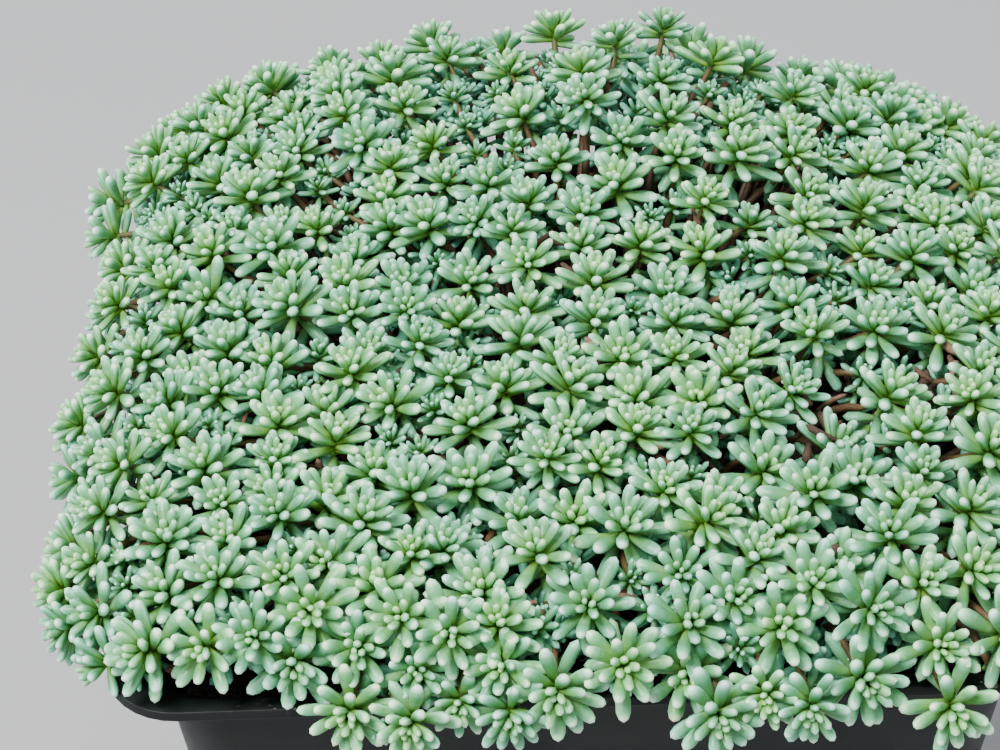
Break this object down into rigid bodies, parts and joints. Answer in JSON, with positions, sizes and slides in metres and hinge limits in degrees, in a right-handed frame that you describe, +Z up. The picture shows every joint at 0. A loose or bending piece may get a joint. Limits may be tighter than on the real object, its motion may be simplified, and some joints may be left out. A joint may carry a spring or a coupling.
{
  "type": "potted sedum",
  "caption": "Square plastic nursery pot filled with potting mix, under a dense low dome of small fleshy sedum rosettes that rolls over the lip.",
  "frame": {"origin": "middle of the pot's base, on the surface it stands on", "axes": "+Z up; the pot's sides are square to X and Y, and -Y is the side that faces the picture's camera"},
  "size_m": [0.1432, 0.1437, 0.1157],
  "materials": {
    "black_plastic": "thin moulded black plastic, slightly glossy, dusty",
    "potting_mix": "dark crumbly potting mix, matt",
    "sedum_green": "fleshy blue-green leaves with a waxy bloom, satin"
  },
  "bodies": {
    "root": {"pot": "black_plastic", "potting_mix": "potting_mix", "clump_01": "sedum_green", "clump_02": "sedum_green", "clump_03": "sedum_green", "clump_04": "sedum_green", "clump_05": "sedum_green", "clump_06": "sedum_green", "clump_07": "sedum_green", "clump_08": "sedum_green", "clump_09": "sedum_green", "clump_10": "sedum_green", "clump_11": "sedum_green", "clump_12": "sedum_green", "clump_13": "sedum_green", "clump_14": "sedum_green", "clump_15": "sedum_green", "clump_16": "sedum_green", "clump_17": "sedum_green", "clump_18": "sedum_green", "clump_19": "sedum_green", "clump_20": "sedum_green", "clump_21": "sedum_green", "clump_22": "sedum_green", "clump_23": "sedum_green", "clump_24": "sedum_green", "clump_25": "sedum_green", "clump_26": "sedum_green", "clump_27": "sedum_green", "clump_28": "sedum_green", "clump_29": "sedum_green", "clump_30": "sedum_green"}
  },
  "joints": []
}
